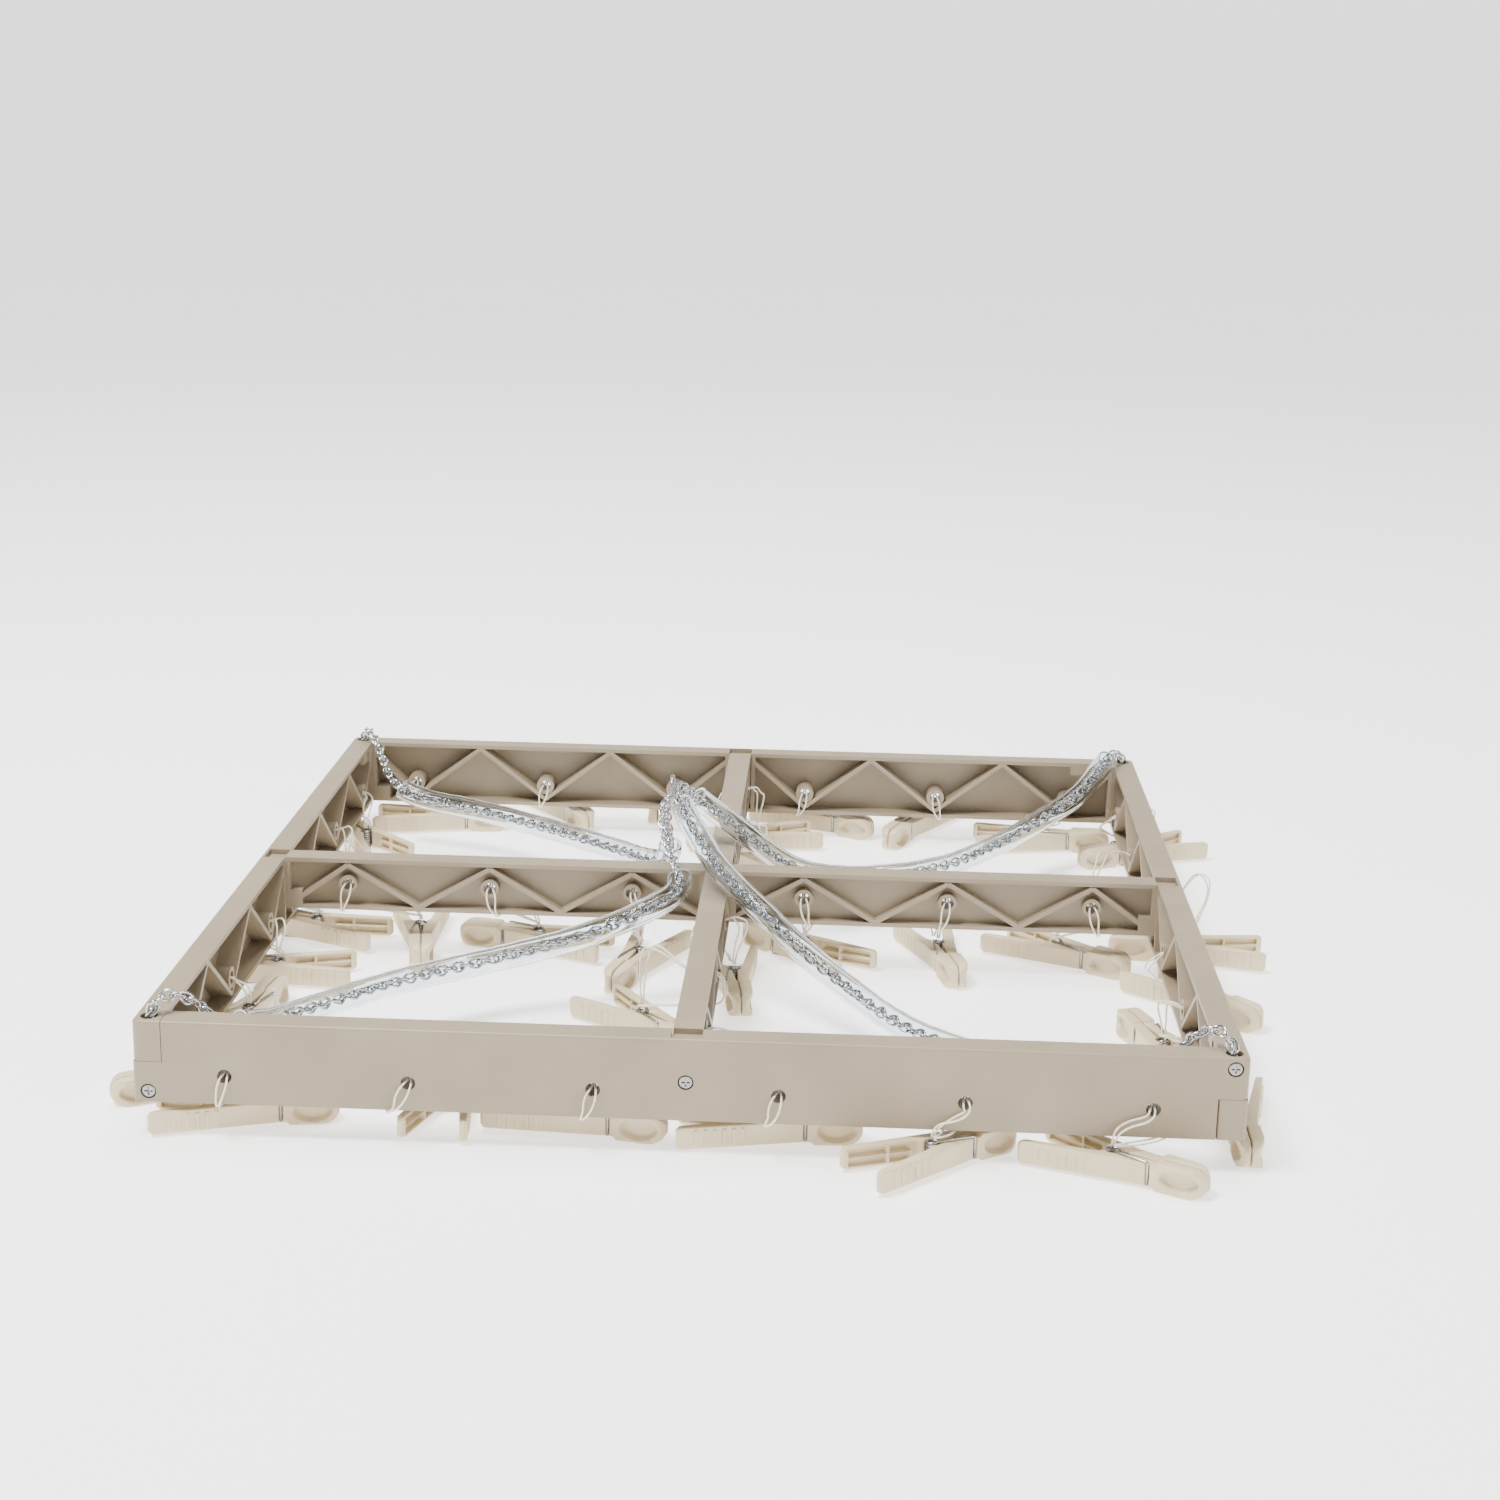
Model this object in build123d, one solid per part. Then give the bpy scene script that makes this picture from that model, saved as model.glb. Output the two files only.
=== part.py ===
from build123d import *
import math
import os

# Square hanging peg airer lying on a flat surface: a square frame of four half-lapped rails,
# two crossbars, four sleeved chains that meet at a small ring, and spring pegs on doubled cords.
# Millimetres, +Z up, the surface is z = 0. The layout is drawn about the frame's centre and
# moved by ORIGIN_X and ORIGIN_Y, so that the origin is under the middle of the rigid parts.

ORIGIN_X = -11.69
ORIGIN_Y = -22.12

# frame
WIDTH = 450.0
RAIL_W = 12.0
RAIL_H = 35.0
WALL = 2.0
FRAME_Z = 14.5
TOP_Z = FRAME_Z + RAIL_H
BAR_H = 26.0
BAR_Z = TOP_Z - BAR_H
RIB = 2.2
RAIL_HOLES = (-187.5, -112.5, -37.5, 37.5, 112.5, 187.5)
BAR_HOLES = (-182.0, -112.0, -42.0, 42.0, 112.0, 182.0)
RAIL_HOLE_Z = 12.0
BAR_HOLE_Z = 13.0
HOLE_R = 3.0
BOSS_R = 5.0
SOCKET_HALF = 6.4
LAP_GAP = 0.15
CROSS_HALF = 6.15
BLOCK_HALF = 9.0
CHAIN_HOLE_R = 3.6
CHAIN_HOLE_DEPTH = 15.0

# screws
HEAD_R = 3.0
HEAD_T = 1.9
SEAT_R = 3.25
SHANK_R = 1.4
PILOT_R = 1.5
SCREW_LEN = 18.0
LOW_SCREW_Z = 4.5
HIGH_SCREW_Z = RAIL_H - 4.6
MID_SCREW_Z = 16.5

# pegs: the spring's axis is upright, x runs towards the jaw
PEG_H = 12.0
EDGE = 1.2
TAIL_X = -35.0
TAIL_Y = 15.0
GROOVE_X = 17.2
GROOVE_Y = 5.6
JAW_X = 41.0
JAW_GAP = 0.15
SEAT = 3.25
COIL_R = 3.0
COIL_HOLE_R = 1.7
WIRE_R = 0.55

# cords, chains and sleeves
CORD_R = 1.0
CORD_BEND = 10.0
CHAIN_R = 3.0
CHAIN_BEND = 60.0
SLEEVE_R = 6.0
SLEEVE_BORE = 4.6
RING_R = 5.6
RING_WIRE_R = 1.0

# pegs by rail: spring x, spring y, heading of the jaw in degrees, moving lever's side
# (1 is on the left of the heading, -1 on the right)
PEGS = {
    "front": [(-186, -209, 9, -1), (-101, -189, 86, 1), (-48, -204, -14, 1),
              (31, -208, 3, 1), (100, -228, 34, 1), (172, -229, -30, 1)],
    "right": [(229, -182, -91, 1), (206, -109, 110, 1), (229, -40, -50, 1),
              (236, 26, 176, -1), (190, 85, 5, 1), (229, 190, 207, 1)],
    "back": [(-175, 209, 4, 1), (-107, 244, -60, -1), (-50, 268, -88, 1),
             (42, 234, -31, 1), (101, 231, -112, 1), (171, 206, 0, 1)],
    "left": [(-208, -177, 210, -1), (-207, -106, 83, -1), (-208, -45, 185, -1),
             (-203, 17, 165, 1), (-207, 110, 10, -1), (-208, 166, 124, 1)],
    "bar_x": [(-150, 15, -80, 1), (-90, 10, 168, 1), (-37, -12, -105, -1),
              (43, 8, 139, -1), (109, 12, -77, -1), (168, 18, -34, -1)],
    "bar_y": [(20, -160, 20, 1), (-29, -95, -45, -1), (10, -35, -82, -1),
              (-30, 75, 180, -1), (17, 142, 140, 1), (11, 192, 197, -1)],
}

# each cord's slack: how far it strays along the rail, how far it bows out on the far side,
# and how high its loop stands on the near side
SLACK = {
    "front": [(4, 3, 0), (11, 4, 0), (6, 3, 0), (7, 4, 0), (6, 9, 0), (-6, 7, 0)],
    "right": [(-5, 8, 0), (4, 2, 8), (6, 6, 0), (-5, 5, 26), (4, 3, 10), (-6, 7, 11)],
    "back": [(5, 2, 0), (-4, 4, 8), (6, 5, 9), (-5, 4, 13), (4, 4, 0), (-5, 2, 8)],
    "left": [(5, 3, 0), (-4, 2, 0), (4, 3, 8), (-6, 4, 10), (5, 14, 9), (-4, 3, 0)],
    "bar_x": [(4, 2, 0), (-5, 3, 8), (5, 2, 0), (-4, 2, 9), (5, 3, 0), (-5, 3, 0)],
    "bar_y": [(-5, 3, 8), (4, 2, 20), (-4, 2, 11), (5, 3, 0), (-4, 3, 9), (5, 2, 8)],
}

# chain routes from the corner to the ring, and the sleeve's first and last points on them
CHAINS = {
    "front_left": [(-219, -219, 48), (-218, -218, 54), (-211, -214, 58), (-203, -208, 52),
                   (-197, -199, 40), (-184, -180, 31), (-163, -144, 28), (-138, -108, 26),
                   (-106, -82, 26),
                   (-72, -68, 31), (-42, -60, 40), (-14, -50, 53), (-18, -34, 60),
                   (-26, -14, 68), (-28, 2, 75), (-27, 11, 79)],
    "front_right": [(219, -219, 48), (218, -218, 54), (212, -213, 58), (204, -207, 52),
                    (198, -199, 40), (184, -190, 29), (153, -178, 22), (120, -158, 20),
                    (90, -134, 21),
                    (66, -99, 25), (43, -79, 36), (22, -64, 51), (2, -41, 62), (-9, -17, 70),
                    (-17, -5, 79), (-21, 7, 83)],
    "back_left": [(-219, 219, 48), (-218, 218, 54), (-213, 209, 58), (-204, 194, 50),
                  (-197, 179, 37), (-180, 174, 28), (-144, 166, 25), (-96, 131, 25),
                  (-58, 97, 26), (-38, 66, 30), (-27, 50, 38), (-28, 42, 54), (-29, 33, 68),
                  (-27, 26, 77)],
    "back_right": [(219, 219, 48), (218, 218, 54), (212, 208, 58), (203, 193, 52),
                   (190, 176, 40), (170, 162, 31), (146, 130, 26), (112, 84, 25),
                   (66, 58, 27), (36, 46, 34), (17, 40, 50), (2, 39, 62), (-10, 40, 70),
                   (-17, 37, 77), (-21, 29, 82)],
}
SLEEVE_SPAN = {
    "front_left": (5, 11), "front_right": (5, 14), "back_left": (5, 10), "back_right": (3, 12),
}
RING_CENTRE = (-24, 18, 84)

SHIFT = Pos(ORIGIN_X, ORIGIN_Y, 0)


def save(shape, name):
    """Write one sub-part, moved from the frame's centre to the origin."""
    moved = SHIFT * shape
    moved.label = name
    export_step(moved, f"parts/{name}.step")


def box(x0, x1, y0, y1, z0, z1):
    """Box between two corners."""
    centre = Pos((x0 + x1) / 2, (y0 + y1) / 2, (z0 + z1) / 2)
    return centre * Box(abs(x1 - x0), abs(y1 - y0), abs(z1 - z0))


def rod_x(radius, x0, x1, y, z):
    """Cylinder along X."""
    return Pos((x0 + x1) / 2, y, z) * Rot(0, 90, 0) * Cylinder(radius, x1 - x0)


def rod_y(radius, x, y0, y1, z):
    """Cylinder along Y."""
    return Pos(x, (y0 + y1) / 2, z) * Rot(90, 0, 0) * Cylinder(radius, y1 - y0)


def rib(x0, z0, x1, z1, y0, y1):
    """Slanted rib in the XZ plane, RIB thick, from y0 to y1."""
    length = math.dist((x0, z0), (x1, z1))
    tilt = math.degrees(math.atan2(z1 - z0, x1 - x0))
    middle = Pos((x0 + x1) / 2, (y0 + y1) / 2, (z0 + z1) / 2)
    return middle * Rot(0, -tilt, 0) * Box(length, y1 - y0, RIB)


def rail():
    """Rail along X: outer face at y = 0, inner side at y = RAIL_W, bottom at z = 0."""
    end = WIDTH / 2
    inner = end - RAIL_W
    high = RAIL_H - WALL
    body = box(-inner + LAP_GAP, inner - LAP_GAP, 0, WALL, 0, RAIL_H)
    body += box(-inner + LAP_GAP, inner - LAP_GAP, 0, RAIL_W, 0, WALL)
    body += box(-inner + LAP_GAP, inner - LAP_GAP, 0, RAIL_W, high, RAIL_H)

    # zigzag ribs: down at the cord holes, up halfway between them
    for hole in RAIL_HOLES:
        side = 1 if hole > 0 else -1
        for peak in (hole - 37.5, hole + 37.5):
            if abs(peak) < 1:
                body += rib(hole, RAIL_HOLE_Z - 8, side * SOCKET_HALF, high - 2, WALL, RAIL_W)
            elif abs(peak) < inner:
                body += rib(hole, RAIL_HOLE_Z - 8, peak, high, WALL, RAIL_W)
            else:
                body += rib(hole, RAIL_HOLE_Z - 8, side * (inner - 1.5), high - 4, WALL, RAIL_W)

    # end walls, screw blocks and the socket for the crossbar
    for side in (-1, 1):
        wall_x = side * (inner - LAP_GAP)
        body += box(wall_x, wall_x - side * RIB, 0, RAIL_W, 0, RAIL_H)
        socket_x = side * SOCKET_HALF
        body += box(socket_x, socket_x + side * RIB, 0, RAIL_W, 0, RAIL_H)
    body += box(inner - 10, inner - LAP_GAP, 0, RAIL_W, 0, 2 * LOW_SCREW_Z)
    body += box(-inner + LAP_GAP, -inner + 10, 0, RAIL_W, RAIL_H - 9.2, RAIL_H)
    body += box(-inner + 14, -inner + 24, RAIL_W - WALL, RAIL_W, high - 5, high)
    body -= box(-SOCKET_HALF, SOCKET_HALF, WALL, RAIL_W + 1, 0.4 * RAIL_H, RAIL_H + 1)

    # half-lap tabs: the lower half at the left end, the upper half at the right end
    half = RAIL_H / 2
    lower = box(-end, -inner + LAP_GAP, 0, RAIL_W - LAP_GAP, 0, half - LAP_GAP)
    upper = box(inner - LAP_GAP, end, 0, RAIL_W - LAP_GAP, half, RAIL_H)
    lower = fillet(lower.edges().filter_by(Axis.Z).group_by(Axis.X)[0], 1.5)
    upper = fillet(upper.edges().filter_by(Axis.Z).group_by(Axis.X)[-1].sort_by(Axis.Y)[0], 3.0)
    body += lower
    body += upper

    # cord holes in ring bosses
    for hole in RAIL_HOLES:
        body += rod_y(BOSS_R, hole, 0, RAIL_W, RAIL_HOLE_Z)
    for hole in RAIL_HOLES:
        body -= rod_y(HOLE_R, hole, -1, RAIL_W + 1, RAIL_HOLE_Z)

    # screw seats and pilot holes: two from outside at the tabs, one in the middle
    centre = end - RAIL_W / 2
    for x, z in ((-centre, LOW_SCREW_Z), (centre, HIGH_SCREW_Z), (0, MID_SCREW_Z)):
        body -= rod_y(SEAT_R, x, -1, HEAD_T + 0.2, z)
        body -= rod_y(PILOT_R, x, -1, RAIL_W + 1, z)
    mid = RAIL_W / 2
    body -= rod_x(PILOT_R, inner - 9, inner + 1, mid, LOW_SCREW_Z)
    body -= rod_x(PILOT_R, -inner - 1, -inner + 9, mid, HIGH_SCREW_Z)

    # upright hole that takes the chain's last link
    drop = Pos(centre, mid, RAIL_H - CHAIN_HOLE_DEPTH / 2 + 1)
    body -= drop * Cylinder(CHAIN_HOLE_R, CHAIN_HOLE_DEPTH)

    # bullnose along the outer top edge
    edge = body.edges().filter_by(Axis.X).filter_by_position(Axis.Y, -0.01, 0.01)
    top = edge.filter_by_position(Axis.Z, RAIL_H - 0.01, RAIL_H + 0.01)
    return fillet(top, 1.2)


def crossbar(keep_top):
    """Crossbar along X about the middle; keep_top says which half stays at the crossing."""
    end = WIDTH / 2 - WALL - 0.2
    inner = WIDTH / 2 - RAIL_W - 0.2
    half_w = RAIL_W / 2
    low = WALL
    high = BAR_H - WALL
    hole_z = BAR_H - BAR_HOLE_Z
    body = box(-inner, inner, -WALL / 2, WALL / 2, 0, BAR_H)
    body += box(-inner, inner, -half_w, half_w, 0, low)
    body += box(-inner, inner, -half_w, half_w, high, BAR_H)
    body += box(-BLOCK_HALF, BLOCK_HALF, -half_w, half_w, 0, BAR_H)

    # zigzag ribs: up at the cord holes, down halfway between them
    for hole in BAR_HOLES:
        for foot in (hole - 35, hole + 35):
            reach = max(-inner + 2, min(inner - 2, foot))
            body += rib(hole, high - 1, reach, low, -half_w, half_w)
        body += rod_y(BOSS_R - 0.5, hole, -half_w, half_w, hole_z)

    # end: solid block with a small shelf, and the tongue that enters the rail's socket
    for side in (-1, 1):
        block = side * inner
        body += box(block, block - side * 8, -half_w, half_w, 0, 0.36 * BAR_H)
        body += box(block, block - side * RIB, -half_w, half_w, 0, BAR_H)
        body += box(block, side * end, -half_w, half_w, 0, BAR_H - WALL - 0.4)

    for hole in BAR_HOLES:
        body -= rod_y(HOLE_R, hole, -half_w - 1, half_w + 1, hole_z)
    pilot_z = MID_SCREW_Z + FRAME_Z - BAR_Z
    body -= rod_x(PILOT_R, -end - 1, -end + SCREW_LEN, 0, pilot_z)
    body -= rod_x(PILOT_R, end - SCREW_LEN, end + 1, 0, pilot_z)

    middle = BAR_H / 2
    if keep_top:
        body -= box(-CROSS_HALF, CROSS_HALF, -half_w - 1, half_w + 1, -1, middle + 0.05)
    else:
        body -= box(-CROSS_HALF, CROSS_HALF, -half_w - 1, half_w + 1, middle - 0.05, BAR_H + 1)
    return body


def screw():
    """Pan-head screw along +Y, its head's face at y = 0."""
    head = rod_y(HEAD_R, 0, 0, HEAD_T, 0)
    head = fillet(head.edges().sort_by(Axis.Y)[0], 0.8)
    head -= box(-1.7, 1.7, -1, 0.9, -0.35, 0.35)
    head -= box(-0.35, 0.35, -1, 0.9, -1.7, 1.7)
    return head + rod_y(SHANK_R, 0, HEAD_T - 0.2, SCREW_LEN, 0)


def on_side(turn):
    """Place a rail drawn with its outer face at y = 0 on the frame's side."""
    return Rot(0, 0, turn) * Pos(0, -WIDTH / 2, FRAME_Z)


def lever():
    """Left half of a peg about its spring's axis, jaw towards +x, on its side edge."""
    with BuildSketch() as outline:
        with BuildLine():
            Polyline(
                (JAW_X, 1.9), (JAW_X - 1.2, JAW_GAP), (20, JAW_GAP), (7, 1.0), (3.0, 1.4),
                (-2.5, 2.6), (-4.5, 4.2), (TAIL_X + 0.5, TAIL_Y - 3.4), (TAIL_X - 0.6, TAIL_Y - 2.6),
                (TAIL_X - 0.6, TAIL_Y - 0.6), (TAIL_X + 1, TAIL_Y - 0.2), (GROOVE_X - 1.1, GROOVE_Y),
                (GROOVE_X - 0.8, GROOVE_Y - 0.9), (GROOVE_X + 0.8, GROOVE_Y - 0.9),
                (GROOVE_X + 1.1, GROOVE_Y), (22, 6.0), (JAW_X - 9, 6.0), (JAW_X - 3, 4.9),
                (JAW_X, 1.9))
        make_face()
    body = extrude(outline.sketch, amount=PEG_H - 2 * EDGE)
    body = Pos(0, 0, EDGE) * body
    cup = box(20.5, JAW_X, JAW_GAP, 6.0, 0, EDGE)
    cup += box(20.5, JAW_X, JAW_GAP, 6.0, PEG_H - EDGE, PEG_H)
    nose = box(JAW_X - 3.5, JAW_X + 1, 3.4, 7, -1, PEG_H + 1)
    body += cup - nose
    body -= Pos(0, 0, PEG_H / 2) * Cylinder(SEAT, PEG_H)
    hollow = Pos(29.5, 7.4, PEG_H / 2) * Rot(90, 0, 0) * extrude(Ellipse(7.2, 4.2), amount=2.6, both=True)
    body -= hollow

    # tray on the handle's inner face
    slope = math.degrees(math.atan2(TAIL_Y - GROOVE_Y, TAIL_X - GROOVE_X)) - 180
    tray = Pos(-19, TAIL_Y - 7.0, PEG_H / 2) * Rot(0, 0, slope) * Box(22, 3.0, PEG_H - 5)
    return body - tray


def coil():
    """Spring's coil with the arm that lies along the fixed lever (on its right side)."""
    length = PEG_H - 0.5
    turns = Pos(0, 0, PEG_H / 2) * (Cylinder(COIL_R, length) - Cylinder(COIL_HOLE_R, length + 1))
    level = PEG_H - EDGE + WIRE_R + 0.03
    start = Vector(0, -COIL_R + WIRE_R, level)
    corner = Vector(GROOVE_X, -GROOVE_Y + 0.25, level)
    foot = Vector(GROOVE_X, -GROOVE_Y + 0.25, EDGE + 1)
    wire = turns + Pos(corner) * Sphere(WIRE_R)
    for a, b in ((start, corner), (corner, foot)):
        wire += extrude(Plane(origin=a, z_dir=b - a) * Circle(WIRE_R), amount=(b - a).length)
    return wire


def place_peg(peg):
    """Location of a peg on the surface."""
    x, y, heading = peg[:3]
    return Pos(x, y, 0) * Rot(0, 0, heading)


def corner_radii(points, limits):
    """Fillet radius for each inner point: 0.45 of the shorter run over tan(half the turn)."""
    radii = []
    for before, here, after, largest in zip(points, points[1:], points[2:], limits):
        inward = Vector(here) - Vector(before)
        outward = Vector(after) - Vector(here)
        half_turn = math.radians(inward.get_angle(outward)) / 2
        reach = 0.45 * min(inward.length, outward.length)
        radii.append(min(largest, reach / math.tan(half_turn)))
    return radii


def tube(points, radii, radius, bore=0):
    """Round tube along straight runs joined by tangent arcs."""
    path = FilletPolyline(*points, radius=radii)
    start = Plane(origin=points[0], z_dir=Vector(points[1]) - Vector(points[0]))
    section = Circle(radius)
    if bore:
        section -= Circle(bore)
    solid = sweep(start * section, path=path)
    wanted = math.pi * (radius ** 2 - bore ** 2) * path.length
    return solid, path.length, solid.volume / wanted


def cord_frame(group):
    """Turn, distance from the middle, hole height and underside of the rail or bar."""
    rail_line = WIDTH / 2 - RAIL_W / 2
    turns = {"front": 0, "right": 90, "back": 180, "left": -90, "bar_x": 0, "bar_y": 90}
    if group.startswith("bar"):
        return turns[group], 0, TOP_Z - BAR_HOLE_Z, BAR_Z, BAR_HOLES
    holes = RAIL_HOLES
    if group in ("back", "left"):
        holes = tuple(-hole for hole in RAIL_HOLES)
    return turns[group], rail_line, FRAME_Z + RAIL_HOLE_Z, FRAME_Z, holes


def cord_route(group, index):
    """Loop from the top of the spring up to the hole, through it and back under the rail."""
    turn, line, hole_z, under, holes = cord_frame(group)
    x, y = PEGS[group][index][:2]
    stray, bow, height = SLACK[group][index]
    hole = holes[index]
    angle = math.radians(turn)
    u = x * math.cos(angle) + y * math.sin(angle)
    v = y * math.cos(angle) - x * math.sin(angle) + line
    near = 1 if v > 0 else -1
    face = RAIL_W / 2 + CORD_R + 0.5
    low = under - CORD_R - 0.1
    return_z = PEG_H + CORD_R + 0.4
    rise = max(face + 2, (abs(v) + face) / 2)
    away = math.hypot(hole - stray - u, near * face - v)
    beside = ((near * face - v) / away, (u - hole + stray) / away)
    level = 0.55 * (PEG_H + 5) + 0.45 * hole_z
    arch = [((u + hole) / 2 + stray / 2, near * rise, level)]
    if height:
        arch = [
            (0.8 * u + 0.2 * hole + stray, near * (rise + 0.5 * height), level + 0.7 * height),
            (0.4 * u + 0.6 * hole + stray / 2, near * (rise + 0.25 * height), level + height),
        ]
    local = [
        (u, v, PEG_H + 0.4),
        (u, v, PEG_H + 5),
        *arch,
        (hole + stray / 5, near * (face + 2.2), hole_z + (2.5 if height else -2.5)),
        (hole, near * (face - 2), hole_z + 0.5),
        (hole, -near * (face - 2), hole_z + 0.2),
        (hole - stray / 8, -near * (face + 1), hole_z - 2.5),
        (hole - stray / 3, -near * (face + 1 + bow), (hole_z + low) / 2 - 1),
        (hole - stray * 2 / 3, -near * (face + 1.3), under + 0.5),
        (hole - stray * 3 / 4, -near * (face - 1.2), low - 0.1),
        (hole - stray, near * (face - 1), low),
        (u + 2.5 * beside[0], v + 2.5 * beside[1], return_z),
    ]
    route = []
    for a, b, z in local:
        b -= line
        route.append((
            a * math.cos(angle) - b * math.sin(angle),
            a * math.sin(angle) + b * math.cos(angle),
            z))
    return route


def build_frame():
    """Four rails, two crossbars and their twelve screws."""
    one_rail = rail()
    for name, turn in (("front", 0), ("right", 90), ("back", 180), ("left", -90)):
        save(on_side(turn) * one_rail, f"rail_{name}")
    save(Pos(0, 0, BAR_Z) * crossbar(True), "crossbar_x")
    save(Pos(0, 0, BAR_Z) * Rot(0, 0, 90) * crossbar(False), "crossbar_y")
    tab = WIDTH / 2 - RAIL_W / 2
    one_screw = screw()
    screws = []
    for turn in (0, 90, 180, -90):
        for x, z in ((-tab, LOW_SCREW_Z), (tab, HIGH_SCREW_Z), (0, MID_SCREW_Z)):
            screws.append(on_side(turn) * Pos(x, 0.2, z) * one_screw)
    save(Compound(children=screws), "screws")


def build_pegs():
    """Pegs: fixed levers by rail, one node for each moving lever, springs and cords."""
    left = lever()
    over = Pos(0, 0, PEG_H) * Rot(180, 0, 0)
    right = over * left
    spring_left = coil()
    spring_right = over * spring_left
    springs = []
    cords = []
    for group, pegs in PEGS.items():
        fixed = []
        for index, peg in enumerate(pegs):
            spot = place_peg(peg)
            moving, still, spring = left, right, spring_left
            if peg[3] < 0:
                moving, still, spring = right, left, spring_right
            save(spot * moving, f"peg_{group}_{index + 1}")
            fixed.append(spot * still)
            springs.append(spot * spring)
            route = cord_route(group, index)
            radii = corner_radii(route, [CORD_BEND] * len(route))
            cord, length, ratio = tube(route, radii, CORD_R)
            print(f"cord {group} {index + 1}: {length:.0f} mm, radii",
                  [round(r, 1) for r in radii], f"volume ratio {ratio:.3f}")
            cords.append(cord)
        save(Compound(children=fixed), f"pegs_{group}")
    save(Compound(children=springs), "peg_springs")
    save(Compound(children=cords), "peg_cords")


def build_chains():
    """Chains, the clear sleeves on them and the ring that gathers them."""
    for name, route in CHAINS.items():
        radii = corner_radii(route, [CHAIN_BEND] * len(route))
        chain, length, ratio = tube(route, radii, CHAIN_R)
        save(chain, f"chain_{name}")
        first, last = SLEEVE_SPAN[name]
        points = list(route[first:last + 1])
        start = (Vector(route[first - 1]) + Vector(route[first])) / 2
        finish = (Vector(route[last]) + Vector(route[last + 1])) / 2
        covered = [tuple(start)] + points + [tuple(finish)]
        sleeve, cover, sleeve_ratio = tube(covered, radii[first - 1:last], SLEEVE_R, SLEEVE_BORE)
        save(sleeve, f"sleeve_{name}")
        print(f"chain {name}: {length:.0f} mm, radii", [round(r) for r in radii],
              f"volume ratio {ratio:.3f}; sleeve {cover:.0f} mm, ratio {sleeve_ratio:.3f}")
    ring = Pos(*RING_CENTRE) * Rot(0, 84, 0) * Torus(RING_R, RING_WIRE_R)
    save(ring, "gather_ring")


if __name__ == "__main__":
    os.makedirs("parts", exist_ok=True)
    build_frame()
    build_pegs()
    build_chains()
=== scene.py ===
import math

import bmesh
import bpy
from mathutils import Matrix, Vector


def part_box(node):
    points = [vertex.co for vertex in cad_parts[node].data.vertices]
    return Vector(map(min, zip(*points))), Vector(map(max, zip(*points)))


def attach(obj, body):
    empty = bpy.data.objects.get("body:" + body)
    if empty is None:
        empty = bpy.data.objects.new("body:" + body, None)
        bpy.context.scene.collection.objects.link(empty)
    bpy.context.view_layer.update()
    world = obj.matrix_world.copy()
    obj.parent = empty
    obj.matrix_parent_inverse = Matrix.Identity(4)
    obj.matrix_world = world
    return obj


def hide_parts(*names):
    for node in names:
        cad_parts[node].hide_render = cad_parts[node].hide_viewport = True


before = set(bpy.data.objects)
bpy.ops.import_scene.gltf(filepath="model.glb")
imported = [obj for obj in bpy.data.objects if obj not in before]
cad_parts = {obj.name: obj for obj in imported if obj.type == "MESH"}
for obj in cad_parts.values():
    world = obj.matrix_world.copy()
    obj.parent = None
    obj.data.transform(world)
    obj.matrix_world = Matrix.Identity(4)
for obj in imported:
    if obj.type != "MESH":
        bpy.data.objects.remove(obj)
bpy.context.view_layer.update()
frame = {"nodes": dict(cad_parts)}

# Hanging peg airer lying on a pale floor. Metres. Places are given about the frame's centre,
# as in the CAD model, and moved by ORIGIN, which comes from the rails' boxes.

MM = 0.001
RAILS = ("rail_front", "rail_right", "rail_back", "rail_left")
BARS = ("crossbar_x", "crossbar_y")
lows, highs = zip(*(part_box(name) for name in RAILS))
ORIGIN = Vector([(min(v[k] for v in lows) + max(v[k] for v in highs)) / 2 for k in range(2)] + [0])
TOP_Z = max(v[2] for v in highs)
FRAME_Z = min(v[2] for v in lows)
BAR_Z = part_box("crossbar_x")[0][2]
HALF = (max(v[0] for v in highs) - min(v[0] for v in lows)) / 2

RAIL_W = 12 * MM
RAIL_HOLE_Z = FRAME_Z + 12 * MM
BAR_HOLE_Z = TOP_Z - 13 * MM
RAIL_HOLES = (-187.5, -112.5, -37.5, 37.5, 112.5, 187.5)
BAR_HOLES = (-182.0, -112.0, -42.0, 42.0, 112.0, 182.0)
PEG_H = 12 * MM
CORD_STEP = 0.8 * MM
STRAND_R = 0.42 * MM
STRAND_GAP = 0.5
STRAND_SPRING = 1.6
SLEEVE_R = 6 * MM
SLEEVE_BORE = 4.8 * MM

# pegs by rail, in millimetres: spring x, spring y, heading of the jaw in degrees, and the
# moving lever's side (1 is on the left of the heading, -1 on the right)
PEGS = {
    "front": [(-186, -209, 9, -1), (-101, -189, 86, 1), (-48, -204, -14, 1),
              (31, -208, 3, 1), (100, -228, 34, 1), (172, -229, -30, 1)],
    "right": [(229, -182, -91, 1), (206, -109, 110, 1), (229, -40, -50, 1),
              (236, 26, 176, -1), (190, 85, 5, 1), (229, 190, 207, 1)],
    "back": [(-175, 209, 4, 1), (-107, 244, -60, -1), (-50, 268, -88, 1),
             (42, 234, -31, 1), (101, 231, -112, 1), (171, 206, 0, 1)],
    "left": [(-208, -177, 210, -1), (-207, -106, 83, -1), (-208, -45, 185, -1),
             (-203, 17, 165, 1), (-207, 110, 10, -1), (-208, 166, 124, 1)],
    "bar_x": [(-150, 15, -80, 1), (-90, 10, 168, 1), (-37, -12, -105, -1),
              (43, 8, 139, -1), (109, 12, -77, -1), (168, 18, -34, -1)],
    "bar_y": [(20, -160, 20, 1), (-29, -95, -45, -1), (10, -35, -82, -1),
              (-30, 75, 180, -1), (17, 142, 140, 1), (11, 192, 197, -1)],
}
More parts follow.
